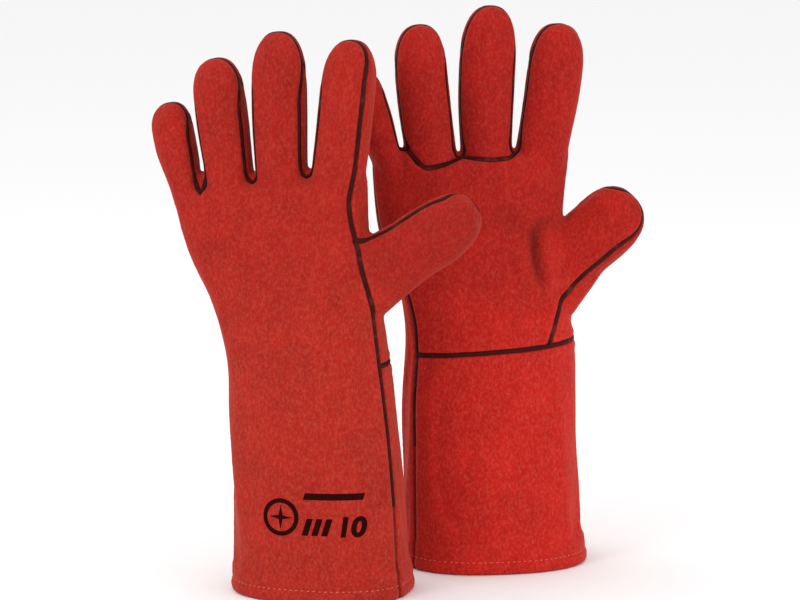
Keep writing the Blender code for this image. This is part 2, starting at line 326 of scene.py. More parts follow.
def ellipsoid_into(form, centre, radii, rings=16, points=24):
    """Adds an ellipsoid, for the pad of flesh that the leather is cut to hold."""
    rows = []
    for i in range(1, rings):
        polar = math.pi * i / rings
        row = []
        for j in range(points):
            turn = 2 * math.pi * j / points
            unit = (math.sin(polar) * math.cos(turn), math.sin(polar) * math.sin(turn), math.cos(polar))
            row.append(form.verts.new([c + r * u for c, r, u in zip(centre, radii, unit)]))
        rows.append(row)
    close_rows(form, rows)


def gap_middle(digit, other):
    """Where two neighbouring fingers part, across the hand."""
    side = math.copysign(1.0, other.root[0] - digit.root[0])
    return (digit.root[0] + side * digit.root_half + other.root[0] - side * other.root_half) / 2


def closed_form(glove, inset, voxel, smoothing):
    """The whole glove as one soft skin, open at the hem, as a mesh in the glove's own frame."""
    form = bmesh.new()
    top = knuckle_height(glove, glove.body[-1].middle) - 1.4 * inset
    heights = [-BELOW_HEM + (top + BELOW_HEM) * i / 60 for i in range(61)]
    rings = [hand_ring(glove, max(height, 0.0), inset) for height in heights]
    rings = [ring._replace(centre=in_plane(ring.centre.x, height)) for ring, height in zip(rings, heights)]
    crown = rings[-1]
    for share in (0.35, 0.65, 0.85, 0.97):
        scale = math.sqrt(1.0 - share**2)
        centre = crown.centre + in_plane(0.0, 0.0025 * share)
        width = crown.half_width - crown.half_depth * (1.0 - scale)
        rings.append(crown._replace(centre=centre, half_width=width, half_depth=crown.half_depth * scale))
    loft_into(form, rings)
    cap = [CAP_START + (1.0 - CAP_START) * (1.0 - (1.0 - i / 14) ** 2) for i in range(1, 14)]
    for digit in (*glove.digits.values(), glove.thumb):
        start = -0.28 if digit is glove.thumb else -0.22
        shares = [start + (CAP_START - start) * i / 20 for i in range(21)] + cap + [0.9995]
        loft_into(form, [digit_ring(glove, digit, share, inset) for share in shares])
    pads = [((x, -0.010, z), radii) for x, (z, radii) in zip(glove.pads, PADS)]
    if inset == 0.0:
        digits = list(glove.digits.values())
        for first, second, rise in zip(digits, digits[1:], glove.webs):
            x = gap_middle(first, second)
            pads.append(((x, -0.001, knuckle_height(glove, x) + rise - 0.011), WEB_RADII))
    for centre, radii in pads:
        ellipsoid_into(form, centre, [radius - inset for radius in radii])
    if glove.heel:
        start, end = Vector(glove.heel[0]), Vector(glove.heel[1])
        half, depth = glove.heel[2] - inset, glove.heel[3] - inset
        across = in_plane(end.z - start.z, start.x - end.x).normalized()
        loft_into(form, [Ring(start.lerp(end, i / 10), across, half, depth) for i in range(11)])
    data = mesh_from(form, "form")
    obj = link("form", data)
    remesh = obj.modifiers.new("remesh", "REMESH")
    remesh.mode = "VOXEL"
    remesh.voxel_size = voxel
    remesh.adaptivity = 0.0
    soften = obj.modifiers.new("soften", "SMOOTH")
    soften.factor = 0.5
    soften.iterations = smoothing
    skin = bpy.data.meshes.new_from_object(obj.evaluated_get(bpy.context.evaluated_depsgraph_get()))
    bpy.data.objects.remove(obj)
    bpy.data.meshes.remove(data)
    open_hem(skin)
    return skin


def open_hem(skin):
    """Cuts the skin off level at the ground."""
    mesh = bmesh.new()
    mesh.from_mesh(skin)
    geometry = [*mesh.verts, *mesh.edges, *mesh.faces]
    bmesh.ops.bisect_plane(mesh, geom=geometry, plane_co=(0, 0, 0.0), plane_no=(0, 0, 1), clear_inner=True)
    mesh.to_mesh(skin)
    mesh.free()


# ---- seams

def resampled(points, step):
    """A polyline's points moved to even spacing."""
    points = np.array(points, float)
    lengths = np.concatenate([[0.0], np.cumsum(np.linalg.norm(np.diff(points, axis=0), axis=1))])
    count = max(int(lengths[-1] / step), 3)
    wanted = np.linspace(0.0, lengths[-1], count + 1)
    return np.stack([np.interp(wanted, lengths, points[:, k]) for k in range(3)], axis=1)


def laid_on(tree, points, step=WELT_STEP, passes=3):
    """A curve laid on the skin: its points, and the skin's normals there."""
    line = resampled(points, step)
    for _ in range(passes):
        line = np.array([tree.find_nearest(Vector(point))[0] for point in line])
        middle = (line[:-2] + 2.0 * line[1:-1] + line[2:]) / 4.0
        line[1:-1] = middle
    line = resampled(line, step)
    found = [tree.find_nearest(Vector(point)) for point in line]
    normals = np.array([hit[1] for hit in found])
    for _ in range(2):
        normals[1:-1] = (normals[:-2] + normals[1:-1] + normals[2:]) / 3.0
    normals /= np.linalg.norm(normals, axis=1)[:, None]
    return np.array([hit[0] for hit in found]), normals


def toward_tip(angle, share, start, length, tip):
    """A seam's angle, which closes on the tip seam near the end of a digit."""
    return angle + (tip - angle) * smooth((share - start) / length)


def side_point(glove, digit, share, side, angle):
    turn = angle if side > 0 else math.pi - angle
    return on_ring(digit_ring(glove, digit, share), turn)


def digit_shares(first, last, count=40):
    return [first + (last - first) * math.sin(math.pi / 2 * i / count) for i in range(count + 1)]


def neighbour(glove, name, side):
    """The finger beside this one, or None at the edge of the hand."""
    names = list(glove.digits)
    at = names.index(name) + int(side)
    return glove.digits[names[at]] if 0 <= at < len(names) else None


def on_skin(tree, x, height, front):
    """The skin's outermost point at a place across the hand, on the back or the palm, or just below a gap."""
    for drop in range(14):
        start = Vector((x, -0.08 if front else 0.08, height - 0.0007 * drop))
        hit = tree.ray_cast(start, Vector((0.0, 1.0 if front else -1.0, 0.0)))[0]
        if hit is not None and abs(hit.y) > 0.007 and (hit.y < 0) == front:
            return hit
    return None


def crotch(glove, tree, name, side, front):
    """The point between two fingers' roots where their seams meet, on the back or the palm, and its rise."""
    names = list(glove.digits)
    at = names.index(name)
    rises = glove.palm_feet if front else glove.back_feet
    rise = rises[at if side > 0 else at - 1]
    x = gap_middle(glove.digits[name], neighbour(glove, name, side))
    return on_skin(tree, x, knuckle_height(glove, x) + rise, front), rise


def back_side_points(glove, tree, name, side):
    """One side of a finger's back seam, from where it leaves the hand up to the tip."""
    digit = glove.digits[name]
    inner = neighbour(glove, name, side) is not None
    angle, start, tip, first = BACK_SEAM, 0.55, TIP_SEAM[glove.name], 0.06
    if inner:
        foot, rise = crotch(glove, tree, name, side, False)
        first = (rise + 0.0065) / (digit.tip[1] - foot.z + rise)
    elif name == "index":
        angle, start, tip = INDEX_OUTER_SEAM, 0.72, INDEX_TIP_SEAM
    else:
        angle = LITTLE_OUTER_SEAM
    points = [
        side_point(glove, digit, share, side, toward_tip(angle, share, start, 0.30, tip))
        for share in digit_shares(first, 0.998)
    ]
    if inner:
        shoulder = foot.lerp(points[0], 0.5) + in_plane(-side * 0.0004, -0.0014)
        return [foot, shoulder] + points
    path = thumb_side_angle if name == "index" else little_side_angle
    top = points[0].z - 0.020
    down = []
    for i in range(41):
        height = top * (1 - i / 40)
        turn = path(height) if side > 0 else math.pi - path(height)
        down.append(on_ring(hand_ring(glove, max(height, 0.0)), turn))
    return down[::-1] + points


def thumb_side_angle(height):
    """How far round towards the back of the hand the thumb side's seam lies at a height."""
    return SIDE_SEAM + math.radians(14) * smooth((height - 0.190) / 0.05)


def little_side_angle(height):
    """The same for the little finger's side, where the seam passes to the palm side on the cuff."""
    return LITTLE_OUTER_SEAM * smooth((height - LITTLE_SEAM_TURNS) / 0.02) + cuff_little_angle(height)


def cuff_little_angle(height):
    return CUFF_LITTLE_SEAM * smooth((LITTLE_SEAM_TURNS - height) / 0.085)


def finger_back_seams(glove, tree):
    """The seam round the back of each finger. Those at the hand's edges run on down to the hem."""
    made = []
    for name in glove.digits:
        points = back_side_points(glove, tree, name, 1.0) + back_side_points(glove, tree, name, -1.0)[::-1]
        line, normals = laid_on(tree, points, passes=8)
        edge = {"index": "thumb_side_welt", "little": "little_side_welt"}.get(name)
        if edge:
            (line, normals), low = parted_at_hand(glove, line, normals)
            made.append((edge, "trunk", *low))
        made.append((f"{name}_back_welt", name, line, normals))
    return made


def parted_at_hand(glove, line, normals):
    """Parts an edge finger's seam from the long stretch that runs down the hand and cuff."""
    above = line[:, 2] > knuckle_height(glove, line[:, 0]) + DIGITS_FROM
    first, last = np.flatnonzero(above)[[0, -1]]
    if line[0, 2] < line[-1, 2]:
        return (line[first:], normals[first:]), (line[:first + 1], normals[:first + 1])
    return (line[:last + 1], normals[:last + 1]), (line[last:], normals[last:])


def palm_finger_seams(glove, tree, name, digit):
    """The seams between the front of a finger and the strips between the fingers."""
    lines = []
    for side, label in ((1.0, "thumb_side"), (-1.0, "little_side")):
        if neighbour(glove, name, side) is None:
            continue
        foot, rise = crotch(glove, tree, name, side, True)
        points = [foot]
        for share in digit_shares((rise + 0.006) / (digit.tip[1] - foot.z + rise), 0.87):
            angle = PALM_SEAM[side] + PALM_SEAM_FLARE * (1.0 - smooth(share / 0.25))
            turn = toward_tip(angle, share, 0.6, 0.27, TIP_SEAM[glove.name])
            points.append(side_point(glove, digit, share, side, turn))
        lines.append((f"{name}_palm_{label}_welt", points))
    return lines


def thumb_seam(glove):
    """The seam from the hand's side over the thumb's upper edge and tip, and under it to the wrist."""
    edges = []
    tip = THUMB_TIP_SEAM[glove.name]
    rows = ((-1.0, THUMB_UPPER_SEAM, 0.20, 0.86), (1.0, THUMB_LOWER_SEAM, 0.30, 0.55))
    for side, angle, first, closing in rows:
        edge = []
        for share in digit_shares(first, 0.998):
            turn = toward_tip(angle, share, closing, 0.99 - closing, tip)
            edge.append(side_point(glove, glove.thumb, share, side, turn))
        edges.append(edge)
    upper, lower = edges
    foot = on_ring(hand_ring(glove, upper[0].z - 0.004), thumb_side_angle(upper[0].z))
    wrist = on_ring(hand_ring(glove, WRIST - 0.0035), THUMB_SEAM_END)
    sag = Vector((-0.0028, 0.0, 0.0))
    under = [wrist.lerp(lower[0], share) + sag for share in (0.70, 0.36)]
    return [foot] + upper + lower[::-1] + under + [wrist]


def wrist_seam(glove):
    """The seam across the palm side at the wrist, between the two side seams."""
    start, end = SIDE_SEAM, math.pi - CUFF_LITTLE_SEAM - 2 * math.pi
    points = []
    for i in range(41):
        angle = start + (end - start) * i / 40
        height = WRIST - WRIST_SEAM_DROP + WRIST_SEAM_SLOPE * math.cos(angle)
        points.append(on_ring(hand_ring(glove, height), angle))
    return points


def finger_base_seam(glove, tree):
    """The seam under the ring and middle fingers on the palm, turning up into the crotches on either side."""
    little, ring, middle, index = glove.digits.values()
    left = gap_middle(little, ring)
    right = gap_middle(middle, index)
    path = (
        (left, glove.palm_feet[0]),
        (left + 0.0030, 0.0055),
        (left + 0.0065, 0.0012),
        (left + 0.0100, -0.0008),
        (left + 0.0180, 0.0002),
        (gap_middle(ring, middle), glove.palm_feet[1]),
        (right - 0.0160, 0.0012),
        (right - 0.0045, 0.0012),
        (right, glove.palm_feet[2]),
    )
    points = []
    for x, _, rise in resampled([(x, 0.0, rise) for x, rise in path], 0.001):
        hit = on_skin(tree, x, knuckle_height(glove, x) + rise, True)
        if hit is not None:
            points.append(hit)
    return points


def all_seams(glove, tree):
    """Every seam of a glove, laid on its skin: (name, region, points, normals)."""
    made = finger_back_seams(glove, tree)
    raw = []
    for name, digit in glove.digits.items():
        raw += [(label, name, points) for label, points in palm_finger_seams(glove, tree, name, digit)]
    line, normals = laid_on(tree, thumb_seam(glove))
    last = np.flatnonzero(line[:, 2] > THUMBS_FROM)[-1]
    made.append(("thumb_welt", "thumb", line[:last + 1], normals[:last + 1]))
    made.append(("thumb_root_welt", "trunk", line[last:], normals[last:]))
    raw.append(("wrist_welt", "trunk", wrist_seam(glove)))
    raw.append(("finger_base_welt", "trunk", finger_base_seam(glove, tree)))
    return made + [(name, region, *laid_on(tree, points)) for name, region, points in raw]


# ---- shaping the skin

def finer_along(skin, tree, reach):
    """Divides the skin's edges that lie near a seam."""
    mesh = bmesh.new()
    mesh.from_mesh(skin)
    near = {vert for vert in mesh.verts if tree.find(vert.co)[2] < reach}
    edges = [edge for edge in mesh.edges if edge.verts[0] in near and edge.verts[1] in near]
    bmesh.ops.subdivide_edges(mesh, edges=edges, cuts=1, use_grid_fill=True, smooth=0.0)
    bmesh.ops.triangulate(mesh, faces=[face for face in mesh.faces if len(face.verts) > 4])
    mesh.to_mesh(skin)
    mesh.free()


def tree_of(points):
    tree = kdtree.KDTree(len(points))
    for i, point in enumerate(points):
        tree.insert(point, i)
    tree.balance()
    return tree


def points_of(mesh):
    return np.array([vert.co for vert in mesh.vertices])


def arrays(skin):
    """The skin's points and its normals there."""
    return points_of(skin), np.array([vert.normal for vert in skin.vertices])


def relaxed(glove, points):
    """How far the leather stands out or in at each point, from its own slackness."""
    moved = np.zeros(len(points))
    shift = Vector((0.31, 0.17, 0.0)) if glove.name == "left" else Vector((0.77, 0.53, 0.2))
    for i, point in enumerate(points):
        spot = Vector(point) + shift
        broad = noise.noise(Vector((spot.x * 22, spot.y * 22, spot.z * 13)))
        middling = noise.noise(Vector((spot.x * 60, spot.y * 60, spot.z * 34)))
        small = noise.noise(spot * 230)
        moved[i] = 0.0009 * broad + 0.00038 * middling + 0.00007 * small
    return moved


def valley(points, path, depth, half, side):
    """A soft fold along a path across the palm (side -1) or the back (side 1), in metres at each point."""
    line = resampled([(x, 0.0, z) for x, z in path], 0.001)
    gaps = np.hypot(points[:, 0, None] - line[:, 0], points[:, 2, None] - line[:, 2])
    along = gaps.argmin(axis=1) / (len(line) - 1)
    ends = np.sin(math.pi * (0.08 + 0.84 * along))
    shown = smooth_step(0.0, 0.008, points[:, 1] * side)
    return -depth * np.exp(-((gaps.min(axis=1) / half) ** 2)) * ends * shown


def folds(glove, points):
    """The soft creases of the palm and the wrist."""
    x = glove.thumb.root[0]
    round_thumb = ((x + 0.004, 0.2180), (x - 0.003, 0.2165), (x - 0.008, 0.2115), (x - 0.009, 0.2010))
    rows = (
        ((*round_thumb, (x - 0.0075, 0.1890), (x - 0.0045, 0.1750)), FOLD_DEPTH, 0.0046, -1),
        (((x - 0.040, 0.231), (x - 0.008, 0.210)), 0.0020, 0.0075, -1),
        (((x - 0.030, 0.160), (x + 0.006, 0.168)), 0.0010, 0.0060, -1),
        (((-0.070, 0.205), (-0.030, 0.216)), 0.0009, 0.0060, -1),
        (((-0.050, 0.152), (0.020, 0.146)), 0.0010, 0.0090, 1),
    )
    return sum(valley(points, *row) for row in rows)


def settled(glove, tree, points):
    """How the leather fills out and sags between its seams: a cloth simulation of a coarse copy."""
    coarse = closed_form(glove, 0.0, SETTLING_VOXEL, 3)
    obj = link("settling", coarse)
    pins = obj.vertex_groups.new(name="pins")
    start = points_of(coarse)
    for i, point in enumerate(start):
        hold = math.exp(-((tree.find(point)[2] / 0.005) ** 2))
        pins.add([i], max(hold, smooth((0.020 - point[2]) / 0.012)), "REPLACE")
    cloth = obj.modifiers.new("cloth", "CLOTH")
    leather = cloth.settings
    leather.quality = 6
    leather.mass = 0.25
    leather.tension_stiffness = leather.compression_stiffness = 40.0
    leather.shear_stiffness = 20.0
    leather.bending_stiffness = 4.0
    leather.vertex_group_mass = pins.name
    leather.use_pressure = True
    leather.uniform_pressure_force = 1.2
    cloth.collision_settings.use_collision = False
    for frame_number in range(1, SETTLING_FRAMES + 1):
        bpy.context.scene.frame_set(frame_number)
    end = points_of(obj.evaluated_get(bpy.context.evaluated_depsgraph_get()).to_mesh())
    bpy.context.scene.frame_set(1)
    bpy.data.objects.remove(obj)
    moved = end - start
    size = np.linalg.norm(moved, axis=1) + 1e-9
    moved *= (SETTLING_LIMIT * np.tanh(size / SETTLING_LIMIT) / size)[:, None]
    near = tree_of(start)
    carried = np.zeros_like(points)
    for i, point in enumerate(points):
        found = near.find_n(point, 4)
        weights = np.array([1.0 / (hit[2] + 0.0008) ** 2 for hit in found])
        carried[i] = weights @ moved[[hit[1] for hit in found]] / weights.sum()
    return carried


def shaped(glove, skin, seams):
    """Creases the skin along its seams, and lets it go slack between them: points, normals and traits."""
    tree = tree_of(np.concatenate([line for _, _, line, _ in seams]))
    finer_along(skin, tree, 0.0042)
    points, normals = arrays(skin)
    away = np.array([tree.find(point)[2] for point in points])
    points += settled(glove, tree, points)
    moved = relaxed(glove, points) * (1.0 - np.exp(-((away / 0.006) ** 2)))
    # The creases shape the leather, and the material also paints shade into them.
    folded = folds(glove, points)
    moved += folded
    moved -= GROOVE_DEPTH * np.exp(-((away / GROOVE_HALF) ** 2))
    moved += PUFF_HEIGHT * np.exp(-(((away - PUFF_AWAY) / PUFF_HALF) ** 2))
    # The hem: drawn in by its stitches, full below them, stepped above its fold, and rounded at its edge
    height = points[:, 2]
    moved -= HEM_RELIEF * np.exp(-(((height - HEM_STITCH_HEIGHT) / 0.0010) ** 2))
    moved += HEM_RELIEF * np.exp(-(((height - 0.0040) / 0.0022) ** 2))
    moved -= HEM_STEP * smooth_step(HEM_FOLD_HEIGHT, 0.0185, height) * (1 - smooth_step(0.020, 0.060, height))
    moved -= HEM_EDGE * np.clip(1.0 - height / 0.0016, 0.0, 1.0) ** 2
    normals[height < 0.004, 2] = 0.0
    points += normals * moved[:, None]
    points[:, 2] = np.maximum(points[:, 2], 0.0)
    skin.vertices.foreach_set("co", points.astype(np.float32).ravel())
    skin.update()
    points, normals = arrays(skin)
    # The traits used by the leather's colour: distance to the nearest seam and depth of the creases, both for
    # painted shade.
    return points, normals, {"seam_away": away, "folded": -folded / FOLD_DEPTH}


def smooth_step(low, high, values):
    t = np.clip((values - low) / (high - low), 0.0, 1.0)
    return t * t * (3.0 - 2.0 * t)


# ---- cutting the skin into panels

def region_of(glove, centres):
    """Which digit each face belongs to, by index into the list of digits, or -1 for the cuff and hand."""
    region = np.full(len(centres), -1)
    x, z = centres[:, 0], centres[:, 2]
    above = z > knuckle_height(glove, x) + DIGITS_FROM
    beside_index = x < glove.digits["index"].tip[0] + 0.026
    best = np.full(len(centres), np.inf)
    for i, digit in enumerate(glove.digits.values()):
        for share in np.linspace(0.0, 1.0, 24):
            ring = digit_ring(glove, digit, share)
            gap = np.hypot((x - ring.centre.x) / max(ring.half_width, 0.006) * 0.012, z - ring.centre.z)
            closer = above & (gap < best) & beside_index
            best[closer] = gap[closer]
            region[closer] = i
    root = np.array(in_plane(*glove.thumb.root))
    across = Vector(glove.thumb_across)
    out = (centres - root) @ np.array(in_plane(-across.y, across.x).normalized())
    rise = (centres - root) @ np.array(in_plane(-across.x, -across.y).normalized())
    half = glove.thumb.root_half
    beyond = (out > 0.003) & (rise < half + 0.002 + 1.9 * np.maximum(out - 0.006, 0.0))
    beyond &= z > THUMBS_FROM
    beyond &= (rise > -half - 0.004) & ~(above & (region >= 0) & beside_index)
    region[beyond] = len(glove.digits)
    return region


def panel_of(glove, centres, region):
    """True where a face is on the back of the hand, past the seams."""
    back = centres[:, 1] > -0.001
    for i in np.flatnonzero(region == -1):
        x, y, z = centres[i]
        ring = hand_ring(glove, max(z, 0.0))
        angle = math.atan2(y / ring.half_depth, (x - ring.centre.x) / ring.half_width)
        little = cuff_little_angle(z)
        back[i] = SIDE_SEAM < angle < math.pi - little or angle < -math.pi - little
    return back


def shell_mesh(name, points, normals, traits, faces, thickness, local_to_row):
    """A panel with its thickness, from some of the skin's faces. Its outside has the whole skin's normals."""
    used = np.unique(np.concatenate([np.array(face) for face in faces]))
    index = {int(old): new for new, old in enumerate(used)}
    outer = points[used]
    inner = outer - normals[used] * thickness
    inner[:, 2] = np.maximum(inner[:, 2], 0.0)
    count = len(used)
    mapped = [[index[v] for v in face] for face in faces]
    edges = {(a, b): True for face in mapped for a, b in zip(face, face[1:] + face[:1])}
    walls = [(b, a, a + count, b + count) for a, b in edges if (b, a) not in edges]
    all_faces = mapped + [[v + count for v in reversed(face)] for face in mapped] + walls
    matrix = np.array(local_to_row)
    world = np.concatenate([outer, inner]) @ matrix[:3, :3].T + matrix[:3, 3]
    if local_to_row.determinant() < 0:
        all_faces = [list(reversed(face)) for face in all_faces]
    mesh = bpy.data.meshes.new(name)
    mesh.from_pydata([tuple(row) for row in world], [], all_faces)
    outward = np.concatenate([normals[used], -normals[used]]) @ matrix[:3, :3].T
    mesh.polygons.foreach_set("use_smooth", [True] * len(mesh.polygons))
    mesh.update()
    mesh.normals_split_custom_set_from_vertices([tuple(row) for row in outward])
    for trait, values in traits.items():
        add_attribute(mesh, trait, np.concatenate([values[used], values[used]]))
    add_rest(mesh)
    return mesh


def add_attribute(mesh, name, values):
    """Gives each point of a mesh a number, or a row of three."""
    is_row = values.ndim == 2
    attribute = mesh.attributes.new(name, "FLOAT_VECTOR" if is_row else "FLOAT", "POINT")
    attribute.data.foreach_set("vector" if is_row else "value", values.astype(np.float32).ravel())


def add_rest(mesh):
    """Keeps each point's place at rest, so that a material's grain stays on the leather when it bends."""
    add_attribute(mesh, "rest", points_of(mesh))


def tint_and_painted_light_at(glove, points, is_thumb):
    """The leather's tint at each point, from cuff to fingertips, and out along the thumb: partly hue, partly
    painted light and shade that lightens the cuff and darkens the fingers and thumb.
    """
    cuff, fingers, thumb = (np.array(dye) for dye in TINTS_AND_PAINTED_LIGHT[glove.name])
    x, z = points[:, 0], points[:, 2]
    tints_and_painted_light = cuff + (fingers - cuff) * smooth_step(0.14, 0.24, z)[:, None]
    if is_thumb:
        root = glove.thumb.root
        out = (x - root[0]) * THUMB_OUT[0] + (z - root[1]) * THUMB_OUT[1]
        share = smooth_step(0.004, 0.034, out) * smooth_step(THUMBS_FROM, THUMBS_FROM + 0.014, z)
        tints_and_painted_light += (thumb - tints_and_painted_light) * share[:, None]
    return tints_and_painted_light


# ---- welts

WELT_SECTION = (
    (-0.86, -1.3),
    (-1.00, 0.30),
    (-0.72, 0.86),
    (0.00, 1.00),
    (0.72, 0.86),
    (1.00, 0.30),
    (0.86, -1.3),
)


def welt_mesh(name, line, normals, local_to_row, seed, tapers, breadth):
    """A folded strip of thin leather, a little proud of its seam, and narrow where it dives under others."""
    form = bmesh.new()
    rows = []
    for i, (point, normal, tangent) in enumerate(zip(line, normals, np.gradient(line, axis=0))):
        tangent = Vector(tangent).normalized()
        out = (Vector(normal) - tangent * Vector(normal).dot(tangent)).normalized()
        side = tangent.cross(out)
        wander = noise.noise(Vector((i * 0.13, seed, 0.0)))
        height = WELT_PROUD * (1.0 + 0.30 * noise.noise(Vector((i * 0.21, seed, 3.0))))
        width = breadth * WELT_HALF * (1.0 + 0.16 * noise.noise(Vector((i * 0.17, seed, 7.0))))
        if tapers:
            from_end = min(i, len(line) - 1 - i) * WELT_STEP
            width *= 0.45 + 0.55 * smooth(from_end / WELT_TAPER)
            height *= 0.60 + 0.40 * smooth(from_end / WELT_TAPER)
        base = Vector(point) - out * GROOVE_DEPTH * 0.35 + side * wander * 0.00022
        corners = [base + side * width * across + out * height * up for across, up in WELT_SECTION]
        rows.append([form.verts.new(local_to_row @ corner) for corner in corners])
    close_rows(form, rows)
    mesh = mesh_from(form, name)
    mesh.shade_smooth()
    mesh.set_sharp_from_angle(angle=math.radians(50))
    add_rest(mesh)
    return mesh


# ---- materials

class Shading:
    """A material as it is built up, from patterns that stay with each point's place at rest."""

    def __init__(self, name):
        self.material = bpy.data.materials.new(name)
        self.material.use_nodes = True
        self.nodes = self.material.node_tree.nodes
        self.rest = self.attribute("rest", "Vector")

    def put(self, value, socket):
        """Links a socket's value, or sets a plain one."""
        if isinstance(value, bpy.types.NodeSocket):
            self.material.node_tree.links.new(value, socket)
        else:
            socket.default_value = value

    def add(self, kind, **values):
        node = self.nodes.new(f"ShaderNode{kind}")
        for name, value in values.items():
            self.put(value, node.inputs[name])
        return node

    def attribute(self, name, output="Fac"):
        node = self.add("Attribute")
        node.attribute_name = name
        return node.outputs[output]

    def noise(self, size, detail, roughness, stretch=(1.0, 1.0, 1.0)):
        """Noise whose features are about as large as size, in metres."""
        place = self.add("Mapping", Scale=stretch, Vector=self.rest).outputs["Vector"]
        node = self.add("TexNoise", Scale=1.0 / size, Detail=detail, Roughness=roughness, Vector=place)
        return node.outputs["Fac"]

    def ramp(self, value, *stops):
        """Colours along a value. A stop's colour may be given as a level of grey."""
        node = self.add("ValToRGB", Fac=value)
        while len(node.color_ramp.elements) < len(stops):
            node.color_ramp.elements.new(0.5)
        for element, (position, colour) in zip(node.color_ramp.elements, stops):
            element.position = position
            element.color = colour if isinstance(colour, tuple) else (colour, colour, colour, 1.0)
        return node.outputs["Color"]

    def mix(self, kind, factor, first, second):
        node = self.add("Mix")
        node.data_type = "RGBA"
        node.blend_type = kind
        for name, value in (("Factor", factor), ("A", first), ("B", second)):
            wanted = "VALUE" if name == "Factor" else "RGBA"
            self.put(value, next(s for s in node.inputs if s.name == name and s.type == wanted))
        return next(s for s in node.outputs if s.type == "RGBA")

    def times(self, colour, value, *stops):
        """A colour multiplied by another, or by greys along a value."""
        return self.mix("MULTIPLY", 1.0, colour, self.ramp(value, *stops) if stops else value)

    def math(self, kind, *values):
        node = self.add("Math")
        node.operation = kind
        for value, socket in zip(values, node.inputs):
            self.put(value, socket)
        return node.outputs[0]

    def bump(self, height, strength, distance):
        node = self.add("Bump", Strength=strength, Distance=distance, Height=height)
        self.put(node.outputs["Normal"], self.nodes["Principled BSDF"].inputs["Normal"])

    def finished(self, colour, traits):
        for name, value in {"Base Color": colour, **traits}.items():
            self.put(value, self.nodes["Principled BSDF"].inputs[name])
        return self.material


def srgb(red, green, blue):
    """A colour given as 0 to 255 values, as linear values with alpha."""
    made = []
    for value in (red, green, blue):
        value /= 255.0
        made.append(value / 12.92 if value <= 0.04045 else ((value + 0.055) / 1.055) ** 2.4)
    return (*made, 1.0)


def suede_material(name, base):
    """The napped side of split cowhide: mottled colour, short fibres down the glove, painted shade at seams
    and creases.
    """
    look = Shading(name)
    cloudy = look.noise(0.030, 3.0, 0.5)
    patchy = look.noise(0.0070, 4.0, 0.62, (1.0, 1.0, 0.55))
    fibres = look.noise(0.0013, 4.0, 0.70, (1.0, 1.0, 0.32))
    flecks = look.noise(0.0014, 2.0, 0.5, (1.0, 1.0, 0.6))
    nap = look.noise(0.0017, 3.0, 0.72, (1.0, 1.0, 0.7))
    colour = look.times(base, cloudy, (0.30, 0.90), (0.70, 1.10))
    colour = look.times(colour, patchy, (0.30, 0.90), (0.72, 1.10))
    colour = look.times(colour, fibres, (0.28, 0.84), (0.74, 1.16))
    colour = look.mix("MIX", look.ramp(nap, (0.44, 0.0), (0.74, 0.31)), colour, srgb(206, 96, 76))
    colour = look.mix("MIX", look.ramp(flecks, (0.70, 0.0), (0.80, 0.45)), colour, srgb(214, 104, 88))
    # The tint per point, which also paints light and shade: the cuff lighter, the fingers and thumb darker.
    colour = look.times(colour, look.attribute("dye", "Vector"))
    # Painted shade: within about 2 mm of a seam the leather is darkened, to about a third at the seam itself,
    # and a touch paler just beyond.
    centimetres = look.math("MULTIPLY", look.attribute("seam_away"), 100.0)
    colour = look.times(colour, centimetres, (0.0, 0.30), (0.13, 0.55), (0.22, 1.06), (0.42, 1.0))
    # Painted shade in the creases of the palm and wrist, darkest where they are deepest.
    colour = look.times(colour, look.attribute("folded"), (0.05, 1.0), (0.35, 0.86), (0.95, 0.46))
    look.bump(look.math("MULTIPLY_ADD", fibres, 0.6, patchy), 0.55, 0.0006)
    return look.finished(colour, {
        "Roughness": 0.92,
        "Specular IOR Level": 0.18,
        "Sheen Weight": 0.22,
        "Sheen Roughness": 0.45,
        "Sheen Tint": srgb(255, 150, 130),
    })


def welt_material():
    """Thin dark leather folded into the seams, with random paler patches painted as highlights."""
    look = Shading("dark_welt_leather")
    painted_highlight_patches = look.noise(0.0085, 3.0, 0.6)
    grain = look.noise(0.0009, 3.0, 0.6)
    # Painted highlight: random patches of the welt turn pale grey-brown.
    colour = look.ramp(painted_highlight_patches, (0.30, srgb(44, 4, 3)), (0.58, srgb(62, 9, 7)), (0.78, srgb(96, 48, 40)))
    colour = look.times(colour, grain, (0.3, 0.8), (0.7, 1.2))
    look.bump(grain, 0.4, 0.0003)
    return look.finished(colour, {"Roughness": 0.66, "Specular IOR Level": 0.12})


def cloth_material(name, light, dark, thread):
    """A plain woven lining: two sets of threads crossing, with a little loose nap."""
    look = Shading(name)
    waves = []
    for direction in ("X", "Z"):
        wave = look.add("TexWave", Scale=1.0 / (thread * 6.28), Distortion=0.6, Vector=look.rest)
        wave.bands_direction = direction
        waves.append(wave.outputs["Fac"])
    weave = look.math("MULTIPLY", *waves)
    nap = look.noise(0.004, 4.0, 0.6)
    colour = look.times(look.mix("MIX", weave, dark, light), nap, (0.3, 0.86), (0.7, 1.08))
    look.bump(weave, 0.6, 0.0004)
    return look.finished(colour, {"Roughness": 0.96})


def thread_material():
    look = Shading("hem_thread")
    twist = look.noise(0.0007, 2.0, 0.5)
    colour = look.ramp(twist, (0.3, srgb(186, 74, 62)), (0.7, srgb(222, 112, 96)))
    return look.finished(colour, {"Roughness": 0.7})


def ink_material():
    """Dark ink printed on nap, worn thin where the fibres stand up."""
    look = Shading("printed_ink")
    worn = look.noise(0.0009, 4.0, 0.7)
    colour = look.ramp(worn, (0.35, srgb(30, 3, 3)), (0.64, srgb(46, 6, 6)), (0.80, srgb(100, 22, 18)))
    return look.finished(colour, {"Roughness": 0.8, "Specular IOR Level": 0.04})


